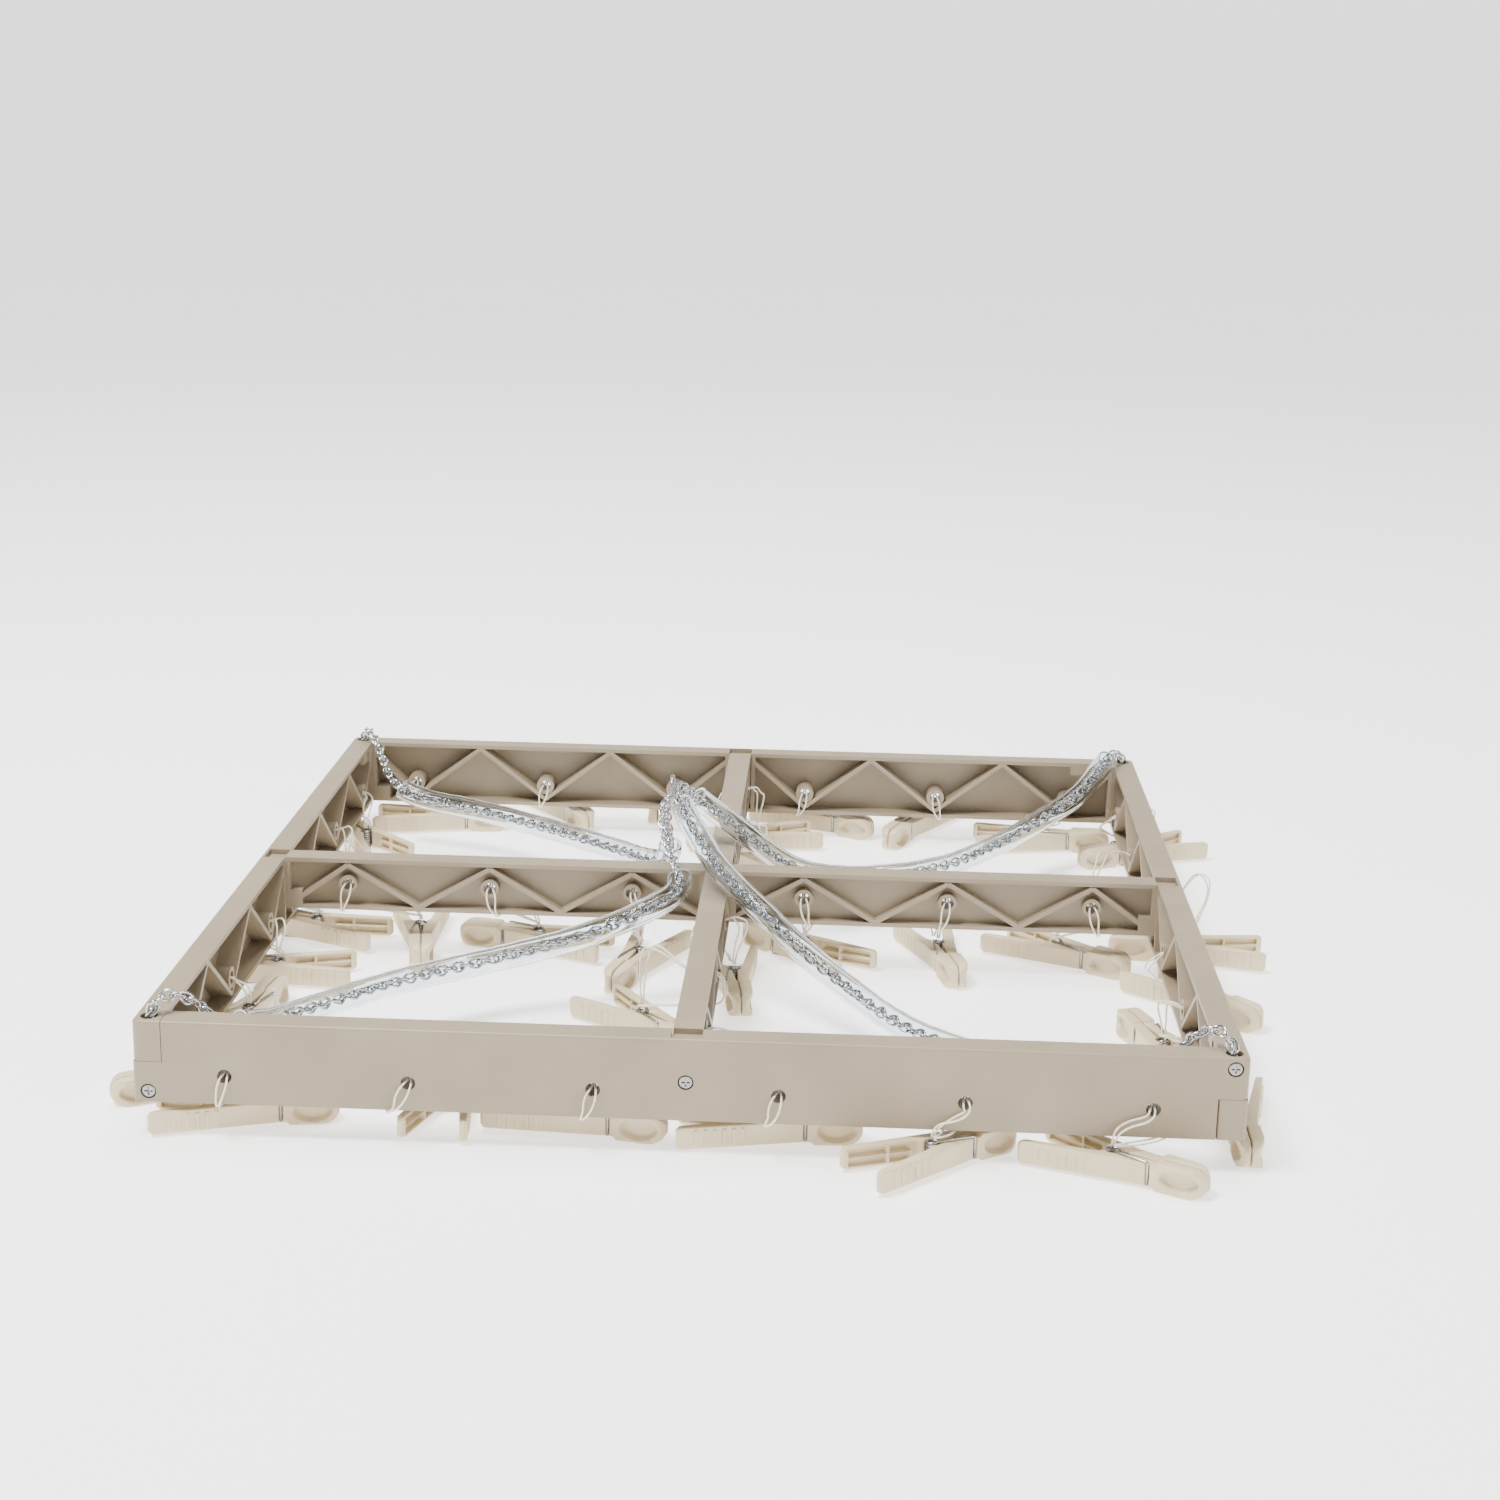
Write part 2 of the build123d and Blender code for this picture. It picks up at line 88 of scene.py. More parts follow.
SLACK = {
    "front": [(4, 3, 0), (11, 4, 0), (6, 3, 0), (7, 4, 0), (6, 9, 0), (-6, 7, 0)],
    "right": [(-5, 8, 0), (4, 2, 8), (6, 6, 0), (-5, 5, 26), (4, 3, 10), (-6, 7, 11)],
    "back": [(5, 2, 0), (-4, 4, 8), (6, 5, 9), (-5, 4, 13), (4, 4, 0), (-5, 2, 8)],
    "left": [(5, 3, 0), (-4, 2, 0), (4, 3, 8), (-6, 4, 10), (5, 14, 9), (-4, 3, 0)],
    "bar_x": [(4, 2, 0), (-5, 3, 8), (5, 2, 0), (-4, 2, 9), (5, 3, 0), (-5, 3, 0)],
    "bar_y": [(-5, 3, 8), (4, 2, 20), (-4, 2, 11), (5, 3, 0), (-4, 3, 9), (5, 2, 8)],
}
CHAINS = {
    "front_left": [(-219, -219, 48), (-218, -218, 54), (-211, -214, 58), (-203, -208, 52),
                   (-197, -199, 40), (-184, -180, 31), (-163, -144, 28), (-138, -108, 26),
                   (-106, -82, 26),
                   (-72, -68, 31), (-42, -60, 40), (-14, -50, 53), (-18, -34, 60),
                   (-26, -14, 68), (-28, 2, 75), (-27, 11, 79)],
    "front_right": [(219, -219, 48), (218, -218, 54), (212, -213, 58), (204, -207, 52),
                    (198, -199, 40), (184, -190, 29), (153, -178, 22), (120, -158, 20),
                    (90, -134, 21),
                    (66, -99, 25), (43, -79, 36), (22, -64, 51), (2, -41, 62), (-9, -17, 70),
                    (-17, -5, 79), (-21, 7, 83)],
    "back_left": [(-219, 219, 48), (-218, 218, 54), (-213, 209, 58), (-204, 194, 50),
                  (-197, 179, 37), (-180, 174, 28), (-144, 166, 25), (-96, 131, 25),
                  (-58, 97, 26), (-38, 66, 30), (-27, 50, 38), (-28, 42, 54), (-29, 33, 68),
                  (-27, 26, 77)],
    "back_right": [(219, 219, 48), (218, 218, 54), (212, 208, 58), (203, 193, 52),
                   (190, 176, 40), (170, 162, 31), (146, 130, 26), (112, 84, 25),
                   (66, 58, 27), (36, 46, 34), (17, 40, 50), (2, 39, 62), (-10, 40, 70),
                   (-17, 37, 77), (-21, 29, 82)],
}
SLEEVE_SPAN = {
    "front_left": (5, 11), "front_right": (5, 14), "back_left": (5, 10), "back_right": (3, 12),
}
RING_CENTRE = (-24, 18, 84)


def add_camera():
    """Camera at the viewing angle of the reference view, aimed level with a slight roll."""
    data = bpy.data.cameras.new("camera")
    data.lens = 58.34
    data.sensor_width = 36
    data.clip_start = 0.05
    data.clip_end = 50
    camera = bpy.data.objects.new("camera", data)
    bpy.context.scene.collection.objects.link(camera)
    right = Vector((0.99877, 0.04584, 0.01882))
    ahead = Vector((-0.0393, 0.9644, -0.2614))
    up = right.cross(ahead)
    turn = Matrix((right, up, -ahead)).transposed().to_4x4()
    place = Vector((0.0603, -1.1318, TOP_Z + 0.3667)) + ORIGIN
    camera.matrix_world = Matrix.Translation(place) @ turn
    bpy.context.scene.camera = camera


add_camera()


# ---------------------------------------------------------------- helpers

def link(obj):
    """Link an object to the scene."""
    bpy.context.scene.collection.objects.link(obj)
    return obj


def new_object(name, bm, smooth=True):
    """Object from a bmesh, which is freed."""
    bmesh.ops.recalc_face_normals(bm, faces=bm.faces)
    mesh = bpy.data.meshes.new(name)
    bm.to_mesh(mesh)
    bm.free()
    for face in mesh.polygons:
        face.use_smooth = smooth
    return link(bpy.data.objects.new(name, mesh))


def route_points(points, resolution=10):
    """Points along the NURBS spline that has these control points."""
    data = bpy.data.curves.new("route", "CURVE")
    data.dimensions = "3D"
    data.resolution_u = resolution
    spline = data.splines.new("NURBS")
    spline.points.add(len(points) - 1)
    for point, place in zip(spline.points, points):
        point.co = (*place, 1)
    spline.order_u = 3
    spline.use_endpoint_u = True
    holder = bpy.data.objects.new("route", data)
    mesh = bpy.data.meshes.new_from_object(holder)
    path = [v.co.copy() for v in mesh.vertices]
    bpy.data.objects.remove(holder)
    bpy.data.curves.remove(data)
    bpy.data.meshes.remove(mesh)
    return path


def even_points(path, step):
    """The same line as path, at even steps."""
    lengths = [0.0]
    for a, b in zip(path, path[1:]):
        lengths.append(lengths[-1] + (b - a).length)
    count = max(2, round(lengths[-1] / step))
    out = []
    k = 0
    for i in range(count + 1):
        want = lengths[-1] * i / count
        while k < len(path) - 2 and lengths[k + 1] < want:
            k += 1
        span = lengths[k + 1] - lengths[k]
        share = (want - lengths[k]) / span if span > 0 else 0
        out.append(path[k].lerp(path[k + 1], min(1, max(0, share))))
    return out


def nearest_index(path, place):
    """Index of the point of path that is nearest to place."""
    return min(range(len(path)), key=lambda i: (path[i] - place).length)


def frames_along(path):
    """Tangent and two normals at each point, carried along without twist."""
    tangents = []
    for i in range(len(path)):
        a = path[max(0, i - 1)]
        b = path[min(len(path) - 1, i + 1)]
        tangents.append((b - a).normalized())
    normal = tangents[0].orthogonal().normalized()
    frames = []
    for tangent in tangents:
        normal = (normal - tangent * normal.dot(tangent)).normalized()
        frames.append((tangent, normal, tangent.cross(normal)))
    return frames


def add_tube(bm, path, radius, sides=10, caps=True, scale=None):
    """Round tube along path; scale gives a factor on the radius at each point."""
    rings = []
    for i, (place, (_, n, b)) in enumerate(zip(path, frames_along(path))):
        r = radius * (scale[i] if scale else 1)
        ring = []
        for k in range(sides):
            turn = 2 * math.pi * k / sides
            ring.append(bm.verts.new(place + n * r * math.cos(turn) + b * r * math.sin(turn)))
        rings.append(ring)
    for low, high in zip(rings, rings[1:]):
        for k in range(sides):
            j = (k + 1) % sides
            bm.faces.new((low[k], low[j], high[j], high[k]))
    if caps:
        bm.faces.new(rings[0][::-1])
        bm.faces.new(rings[-1])
    return rings


# ---------------------------------------------------------------- materials

def node_material(name, colour, roughness, metallic=0.0):
    """Principled material; returns it with its node tree and shader."""
    material = bpy.data.materials.new(name)
    material.use_nodes = True
    shader = material.node_tree.nodes["Principled BSDF"]
    shader.inputs["Base Color"].default_value = (*colour, 1)
    shader.inputs["Roughness"].default_value = roughness
    shader.inputs["Metallic"].default_value = metallic
    return material, material.node_tree, shader


def noise(tree, scale, detail=3.0):
    """Noise on object coordinates, in metres."""
    coords = tree.nodes.new("ShaderNodeTexCoord")
    texture = tree.nodes.new("ShaderNodeTexNoise")
    texture.inputs["Scale"].default_value = scale
    texture.inputs["Detail"].default_value = detail
    tree.links.new(coords.outputs["Object"], texture.inputs["Vector"])
    return texture


def vary_colour(tree, shader, texture, dark, light):
    """Base colour between two shades by the texture."""
    ramp = tree.nodes.new("ShaderNodeValToRGB")
    ramp.color_ramp.elements[0].position = 0.3
    ramp.color_ramp.elements[0].color = (*dark, 1)
    ramp.color_ramp.elements[1].position = 0.7
    ramp.color_ramp.elements[1].color = (*light, 1)
    tree.links.new(texture.outputs["Fac"], ramp.inputs["Fac"])
    tree.links.new(ramp.outputs["Color"], shader.inputs["Base Color"])


def vary_roughness(tree, shader, texture, low, high):
    """Roughness between two values by the texture."""
    spread = tree.nodes.new("ShaderNodeMapRange")
    spread.inputs["To Min"].default_value = low
    spread.inputs["To Max"].default_value = high
    tree.links.new(texture.outputs["Fac"], spread.inputs["Value"])
    tree.links.new(spread.outputs["Result"], shader.inputs["Roughness"])


def add_bump(tree, shader, texture, distance, strength=1.0):
    """Small bumps by the texture."""
    bump = tree.nodes.new("ShaderNodeBump")
    bump.inputs["Distance"].default_value = distance
    bump.inputs["Strength"].default_value = strength
    tree.links.new(texture.outputs["Fac"], bump.inputs["Height"])
    tree.links.new(bump.outputs["Normal"], shader.inputs["Normal"])


def frame_plastic():
    """Satin taupe plastic, with a fine moulded texture and faint flow clouds."""
    material, tree, shader = node_material("frame_plastic", (0.285, 0.226, 0.152), 0.4)
    clouds = noise(tree, 28, 4)
    vary_colour(tree, shader, clouds, (0.262, 0.207, 0.138), (0.30, 0.240, 0.163))
    vary_roughness(tree, shader, noise(tree, 160, 3), 0.36, 0.5)
    add_bump(tree, shader, noise(tree, 2600, 2), 0.00003, 0.5)
    shader.inputs["Specular IOR Level"].default_value = 0.45
    return material


def peg_plastic():
    """Cream moulded plastic that lets a little light through."""
    material, tree, shader = node_material("peg_plastic", (0.62, 0.515, 0.33), 0.4)
    vary_colour(tree, shader, noise(tree, 60, 3), (0.585, 0.48, 0.30), (0.65, 0.545, 0.36))
    vary_roughness(tree, shader, noise(tree, 300, 2), 0.34, 0.48)
    add_bump(tree, shader, noise(tree, 1800, 2), 0.00004, 0.4)
    shader.inputs["Subsurface Weight"].default_value = 0.06
    shader.inputs["Subsurface Radius"].default_value = (0.9, 0.7, 0.4)
    shader.inputs["Subsurface Scale"].default_value = 0.002
    return material


def bright_steel(name, colour, rough_low, rough_high):
    """Bright zinc-plated steel with fine rub marks."""
    material, tree, shader = node_material(name, colour, rough_low, 1.0)
    dark = tuple(0.86 * c for c in colour)
    vary_colour(tree, shader, noise(tree, 700, 3), dark, colour)
    vary_roughness(tree, shader, noise(tree, 1500, 3), rough_low, rough_high)
    add_bump(tree, shader, noise(tree, 3000, 2), 0.00002, 0.4)
    return material


def clear_sleeve():
    """Clear soft tube with a faint cool tint and a slightly uneven gloss."""
    material, tree, shader = node_material("clear_sleeve", (0.84, 0.875, 0.90), 0.03)
    shader.inputs["Transmission Weight"].default_value = 1.0
    shader.inputs["IOR"].default_value = 1.22
    shader.inputs["Specular IOR Level"].default_value = 0.9
    vary_colour(tree, shader, noise(tree, 90, 2), (0.78, 0.82, 0.85), (0.90, 0.925, 0.945))
    vary_roughness(tree, shader, noise(tree, 220, 3), 0.015, 0.05)
    return material


def cut_edge():
    """Frosted pale face where a sleeve was cut."""
    material, tree, shader = node_material("cut_edge", (0.60, 0.64, 0.67), 0.5)
    vary_colour(tree, shader, noise(tree, 500, 2), (0.55, 0.59, 0.62), (0.66, 0.70, 0.73))
    vary_roughness(tree, shader, noise(tree, 500, 2), 0.42, 0.58)
    return material


def cord_fibre():
    """Cream twisted cord: fine slanted bands along the strands and soft fibres."""
    material, tree, shader = node_material("cord", (0.86, 0.80, 0.66), 0.75)
    vary_colour(tree, shader, noise(tree, 900, 3), (0.72, 0.65, 0.50), (0.90, 0.85, 0.73))
    add_bump(tree, shader, noise(tree, 2200, 3), 0.0001, 0.8)
    shader.inputs["Sheen Weight"].default_value = 0.25
    shader.inputs["Sheen Roughness"].default_value = 0.5
    return material


FRAME_PLASTIC = frame_plastic()
PEG_PLASTIC = peg_plastic()
SPRING_STEEL = bright_steel("spring_steel", (0.42, 0.41, 0.40), 0.2, 0.34)
CHAIN_STEEL = bright_steel("chain_steel", (0.60, 0.61, 0.62), 0.1, 0.2)
SCREW_STEEL = bright_steel("screw_steel", (0.30, 0.295, 0.285), 0.2, 0.36)
CLEAR_SLEEVE = clear_sleeve()
CUT_EDGE = cut_edge()
CORD = cord_fibre()


def finish_piece(obj, material, slot, body, *nodes):
    """Material, body and the CAD nodes that a piece stands for; the slot argument is not used."""
    obj.data.materials.clear()
    obj.data.materials.append(material)
    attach(obj, body)
    if nodes:
        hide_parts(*nodes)
    return obj


# ---------------------------------------------------------------- peg cords

def cord_frame(group):
    """Turn, distance from the middle, hole height and underside of the rail or bar."""
    turns = {"front": 0, "right": 90, "back": 180, "left": -90, "bar_x": 0, "bar_y": 90}
    if group.startswith("bar"):
        return turns[group], 0, BAR_HOLE_Z / MM, BAR_Z / MM, BAR_HOLES
    holes = RAIL_HOLES
    if group in ("back", "left"):
        holes = tuple(-hole for hole in RAIL_HOLES)
    line = (HALF - RAIL_W / 2) / MM
    return turns[group], line, RAIL_HOLE_Z / MM, FRAME_Z / MM, holes


def cord_route(group, index):
    """Loop from the top of the spring up to the hole, through it and back under the rail."""
    turn, line, hole_z, under, holes = cord_frame(group)
    x, y = PEGS[group][index][:2]
    stray, bow, height = SLACK[group][index]
    hole = holes[index]
    angle = math.radians(turn)
    u = x * math.cos(angle) + y * math.sin(angle)
    v = y * math.cos(angle) - x * math.sin(angle) + line
    near = 1 if v > 0 else -1
    face = 7.5
    low = under - 1.1
    rise = max(face + 2, (abs(v) + face) / 2)
    away = math.hypot(hole - stray - u, near * face - v)
    beside = ((near * face - v) / away, (u - hole + stray) / away)
    level = 0.55 * 17 + 0.45 * hole_z
    arch = [((u + hole) / 2 + stray / 2, near * rise, level)]
    if height:
        arch = [
            (0.8 * u + 0.2 * hole + stray, near * (rise + 0.5 * height), level + 0.7 * height),
            (0.4 * u + 0.6 * hole + stray / 2, near * (rise + 0.25 * height), level + height),
        ]
    local = [
        (u, v, 12.4),
        (u, v, 17),
        *arch,
        (hole + stray / 5, near * (face + 2.2), hole_z + (2.5 if height else -2.5)),
        (hole, near * (face - 2), hole_z + 0.5),
        (hole, -near * (face - 2), hole_z + 0.2),
        (hole - stray / 8, -near * (face + 1), hole_z - 2.5),
        (hole - stray / 3, -near * (face + 1 + bow), (hole_z + low) / 2 - 1),
        (hole - stray * 2 / 3, -near * (face + 1.3), under + 0.5),
        (hole - stray * 3 / 4, -near * (face - 1.2), low - 0.1),
        (hole - stray, near * (face - 1), low),
        (u + 2.5 * beside[0], v + 2.5 * beside[1], 13.4),
    ]
    route = []
    for a, b, z in local:
        b -= line
        across = a * math.cos(angle) - b * math.sin(angle)
        along = a * math.sin(angle) + b * math.cos(angle)
        route.append(Vector((across, along, z)) * MM + ORIGIN)
    return route


def strand_sides(path):
    """Level direction across the cord at each point, kept smooth where the cord stands up."""
    side = Vector((1, 0, 0))
    sides = []
    for before, after in zip([path[0]] + path, path[1:] + [path[-1]]):
        ahead = (after - before).normalized()
        level = ahead.cross(Vector((0, 0, 1)))
        if level.dot(side) < 0:
            level = -level
        side = side + 0.25 * level
        side = (side - ahead * side.dot(ahead)).normalized()
        sides.append(side)
    return sides


def two_strands(bm, path, ties, phase):
    """Two thin strands that meet at the ties and spring apart between them."""
    sides = strand_sides(path)
    spread = []
    for first, last in zip([0] + ties, ties + [len(path)]):
        reach = min(1, (last - first) / 28)
        for i in range(last - first):
            wave = math.sin(math.pi * i / (last - first)) ** 2
            spread.append(STRAND_GAP + STRAND_SPRING * reach * wave)
    for sign in (-1, 1):
        line = []
        for i, (place, side) in enumerate(zip(path, sides)):
            lift = 0.25 * math.sin(i * 0.16 + phase) * sign
            reach = sign * spread[i] * (1 + 0.12 * math.sin(i * 0.11 + phase + sign))
            line.append(place + (side * reach + Vector((0, 0, lift * (spread[i] - STRAND_GAP)))) * MM)
        wobble = [1 + 0.06 * math.sin(i * 1.7 + phase) for i in range(len(line))]
        add_tube(bm, line, STRAND_R, 8, scale=wobble)


def build_cords():
    """The 36 doubled cords that tie the pegs to the frame."""
    for group, pegs in PEGS.items():
        for index in range(len(pegs)):
            route = cord_route(group, index)
            path = even_points(route_points(route), CORD_STEP)
            bm = bmesh.new()
            ties = [nearest_index(path, (route[k] + route[k + 1]) / 2) for k in (-8, -4)]
            two_strands(bm, path, ties, 1.3 * index)
            cord = new_object(f"cord_{group}_{index + 1}", bm)
            finish_piece(cord, CORD, "cord", "frame", "peg_cords")


build_cords()


# ---------------------------------------------------------------- chains and sleeves

CHAIN_STEP = 1.5 * MM
LINK_PITCH = 4.2 * MM
LINK_LENGTH = 6.6 * MM
LINK_WIDTH = 4.4 * MM
LINK_WIRE = 0.64 * MM
RING_R = 5.6 * MM
RING_WIRE_R = 1 * MM
END_LINK_WIDTH = 4.6 * MM


def add_link(bm, centre, tangent, normal, length, width, wire, twist):
    """One twisted link: an oval of wire in the plane of tangent and normal."""
    other = tangent.cross(normal)
    ring = []
    steps = 16
    for k in range(steps):
        turn = 2 * math.pi * k / steps
        along = length / 2 * math.cos(turn)
        across = width / 2 * math.sin(turn)
        lean = twist * math.cos(turn)
        side = normal * math.cos(lean) + other * math.sin(lean)
        ring.append(centre + tangent * along + side * across)
    sides = 7
    rings = []
    for k in range(steps):
        ahead = (ring[(k + 1) % steps] - ring[k - 1]).normalized()
        out = (ring[k] - centre)
        out = (out - ahead * out.dot(ahead)).normalized()
        up = ahead.cross(out)
        loop = []
        for j in range(sides):
            turn = 2 * math.pi * j / sides
            loop.append(bm.verts.new(ring[k] + (out * math.cos(turn) + up * math.sin(turn)) * wire))
        rings.append(loop)
    for k in range(steps):
        low = rings[k]
        high = rings[(k + 1) % steps]
        for j in range(sides):
            i = (j + 1) % sides
            bm.faces.new((low[j], low[i], high[i], high[j]))


def ring_path():
    """Middle line of the bent-wire ring, its ends butted with a fine gap."""
    turn = Matrix.Rotation(math.radians(84), 4, "Y")
    centre = Vector(RING_CENTRE) * MM + ORIGIN
    path = []
    for k in range(73):
        angle = math.radians(2 + 356 * k / 72)
        path.append(centre + turn @ Vector((math.cos(angle), math.sin(angle), 0)) * RING_R)
    return path


def build_chain(name, path):
    """Curb chain: each link a quarter turn from the last, with a slow twist."""
    places = even_points(path, LINK_PITCH)
    bm = bmesh.new()
    for i, (place, (tangent, n, b)) in enumerate(zip(places, frames_along(places))):
        turn = i * math.pi / 2 + 0.55 * math.sin(i * 0.35) + 0.4
        normal = n * math.cos(turn) + b * math.sin(turn)
        centre = place
        if i == 0:
            centre = place + tangent * 2 * MM
        if i == len(places) - 1:
            centre = place - tangent * 2 * MM
        add_link(bm, centre, tangent, normal, LINK_LENGTH, LINK_WIDTH, LINK_WIRE, 0.5)
    return new_object(f"links_{name}", bm)


def close_wall(bm, outer, inner):
    """Flat annular faces at both ends of a hollow tube."""
    for a, b in ((outer[0], inner[0]), (outer[-1], inner[-1])):
        for k in range(len(a)):
            j = (k + 1) % len(a)
            bm.faces.new((a[k], a[j], b[j], b[k]))


def build_sleeve(name, path):
    """Clear tube on the chain: wall with both faces, a little uneven, with cut ends."""
    radius = []
    for i in range(len(path)):
        radius.append(1 + 0.018 * math.sin(i * 0.31) + 0.012 * math.sin(i * 0.83 + 1))
    bm = bmesh.new()
    outer = add_tube(bm, path, SLEEVE_R * 0.97, 28, caps=False, scale=radius)
    inner = add_tube(bm, path, SLEEVE_BORE * 0.97, 28, caps=False, scale=radius)
    close_wall(bm, outer, inner)
    return new_object(f"tube_{name}", bm)


def build_edge(name, place, outward):
    """Thin frosted washer over one cut end of a sleeve."""
    path = [place - outward * 0.1 * MM, place + outward * 0.15 * MM]
    bm = bmesh.new()
    outer = add_tube(bm, path, SLEEVE_R * 0.985, 28, caps=False)
    inner = add_tube(bm, path, SLEEVE_BORE * 0.95, 28, caps=False)
    close_wall(bm, outer, inner)
    bmesh.ops.recalc_face_normals(bm, faces=bm.faces)
    finish_piece(new_object(name, bm), CUT_EDGE, "clear_sleeve", "frame")


def build_chains():
    """The four chains in their sleeves."""
    for name, route in CHAINS.items():
        points = [Vector(p) * MM + ORIGIN for p in route]
        path = even_points(route_points(points, 12), CHAIN_STEP)
        chain = build_chain(name, path)
        finish_piece(chain, CHAIN_STEEL, "chain_steel", "frame", f"chain_{name}")
        first, last = SLEEVE_SPAN[name]
        start = nearest_index(path, (points[first - 1] + points[first]) / 2)
        finish = nearest_index(path, (points[last] + points[last + 1]) / 2)
        sleeve = build_sleeve(name, path[start:finish + 1])
        finish_piece(sleeve, CLEAR_SLEEVE, "clear_sleeve", "frame", f"sleeve_{name}")
        for side, at, beyond in (("low", start, start - 1), ("high", finish, finish + 1)):
            build_edge(f"edge_{name}_{side}", path[at], (path[beyond] - path[at]).normalized())


build_chains()


def build_ring():
    """Ring that gathers the four chains, with the last link of each."""
    bm = bmesh.new()
    wire = ring_path()
    add_tube(bm, wire, RING_WIRE_R, 14)
    for route in CHAINS.values():
        end = Vector(route[-1]) * MM + ORIGIN
        near = wire[nearest_index(wire, end)]
        reach = near - end
        side = reach.cross(Vector((1, 0, 0))).normalized()
        add_link(bm, (near + end) / 2, reach.normalized(), side, reach.length + 5 * MM,
                 END_LINK_WIDTH, LINK_WIRE, 0.2)
    ring = new_object("ring", bm)
    finish_piece(ring, SPRING_STEEL, "spring_steel", "frame", "gather_ring")


build_ring()


# ---------------------------------------------------------------- pegs

TAIL_X = -35.6
JAW_X = 41.0
GROOVE_X = 17.2
SPRING_SEAT = 3.25
MIDDLE = 6
COIL_R = 2.42


def smooth_step(value, low, high):
    """0 below low, 1 above high, and a smooth rise between."""
    share = min(1, max(0, (value - low) / (high - low)))
    return share * share * (3 - 2 * share)


def between(x, points):
    """Value at x on a line through points."""
    for (x0, y0), (x1, y1) in zip(points, points[1:]):
        if x <= x1:
            return y0 + (y1 - y0) * (x - x0) / (x1 - x0)
    return points[-1][1]


def outer_line(x):
    """Outer face of a lever."""
    y = between(x, [(-35.6, 14.9), (16.1, 5.6), (18.3, 5.6), (22, 6.0), (32, 6.0), (36, 5.4),
                    (39, 3.9), (41, 2.0)])
    y -= 0.9 * (1 - smooth_step(abs(x - GROOVE_X), 0.55, 1.1))
    return y - 2.0 * (1 - smooth_step(x, TAIL_X - 0.01, TAIL_X + 1.8)) * 0.6


def inner_line(x):
    """Inner face: serrated jaw, seat for the spring, splayed handle."""
    y = between(x, [(-35.6, 12.3), (-34.6, 11.45), (-4.6, 4.4), (-2.9, 2.6), (3.2, 1.3), (7, 1.0),
                    (20, 0.15), (40, 0.15), (41, 0.6)])
    if abs(x) < SPRING_SEAT:
        y = max(y, math.sqrt(SPRING_SEAT ** 2 - x * x))
    if 21.5 < x < 39:
        y += 0.42 * abs((x / 1.7) % 1 - 0.5) * 2
    return y


def edge_line(x):
    """How far the side edges stand in from the peg's full height."""
    inset = 1.2 * (1 - smooth_step(x, 19.6, 20.8))
    tip = x - 35
    if tip > 0:
        inset += 4.8 * (1 - math.sqrt(max(0, 1 - (tip / 6.1) ** 2)))
    tail = -32.8 - x
    if tail > 0:
        inset += 2.2 * (1 - math.sqrt(max(0, 1 - (tail / 3.0) ** 2)))
    return inset


def outer_relief(x, z):
    """Oval hollow in the cup and raised bars on the handle."""
    oval = math.hypot((x - 30.2) / 8.8, (z - MIDDLE) / 4.7)
    relief = -2.9 * (1 - smooth_step(oval, 0.72, 1.0))
    if -30 < x < -6.5:
        phase = abs(((x + 8.2) / 3.8) % 1 - 0.5) * 3.8
        bar = smooth_step(phase, 0.95, 1.35)
        relief += 0.65 * bar * (1 - smooth_step(abs(z - MIDDLE), 3.1, 3.7))
    return relief


def inner_relief(x, z):
    """Tray in the handle's inner face, with a lengthwise rib and a cross wall."""
    inside = smooth_step(x, -33.2, -32.6) * (1 - smooth_step(x, -7.6, -7.0))
    inside *= 1 - smooth_step(abs(z - MIDDLE), 3.2, 3.7)
    rib = 1 - smooth_step(abs(z - MIDDLE), 0.35, 0.75)
    wall = 1 - smooth_step(abs(x + 16.5), 0.4, 0.85)
    return 2.3 * inside * (1 - max(rib, wall))


def lever_stations():
    """Places along a lever, closer together where the shape changes quickly."""
    places = []
    x = TAIL_X
    while x < JAW_X:
        places.append(x)
        fine = abs(x - GROOVE_X) < 2 or abs(x + 16.5) < 1.3 or x < TAIL_X + 3 or x > JAW_X - 3
        x += 0.3 if fine else 0.5
    places.append(JAW_X)
    return places


def lever_section(x):
    """Closed loop of (y, z) round a lever at x."""
    inset = edge_line(x)
    low = inset
    high = 2 * MIDDLE - inset
    top = outer_line(x)
    bottom = min(inner_line(x), top - 0.5)
    round_r = min(0.7, (top - bottom) * 0.4)
    loop = []
    steps = 18

    def add_round(y_side, z_side, turns):
        """Points of one rounded edge, from the middle of its arc."""
        y_mid = top - round_r if y_side > 0 else bottom + round_r
        z_mid = high - round_r if z_side > 0 else low + round_r
        for degrees in turns:
            turn = math.radians(degrees)
            loop.append((y_mid + y_side * round_r * math.sin(turn),
                         z_mid + z_side * round_r * math.cos(turn)))

    for k in range(steps + 1):
        z = low + round_r + (high - low - 2 * round_r) * k / steps
        loop.append((top + outer_relief(x, z), z))
    add_round(1, 1, (60, 30))
    loop.append((top - round_r, high))
    loop.append((bottom + round_r, high))
    add_round(-1, 1, (30, 60))
    for k in range(steps + 1):
        z = high - round_r - (high - low - 2 * round_r) * k / steps
        loop.append((bottom + inner_relief(x, z), z))
    add_round(-1, -1, (60, 30))
    loop.append((bottom + round_r, low))
    loop.append((top - round_r, low))
    add_round(1, -1, (30, 60))
    return loop


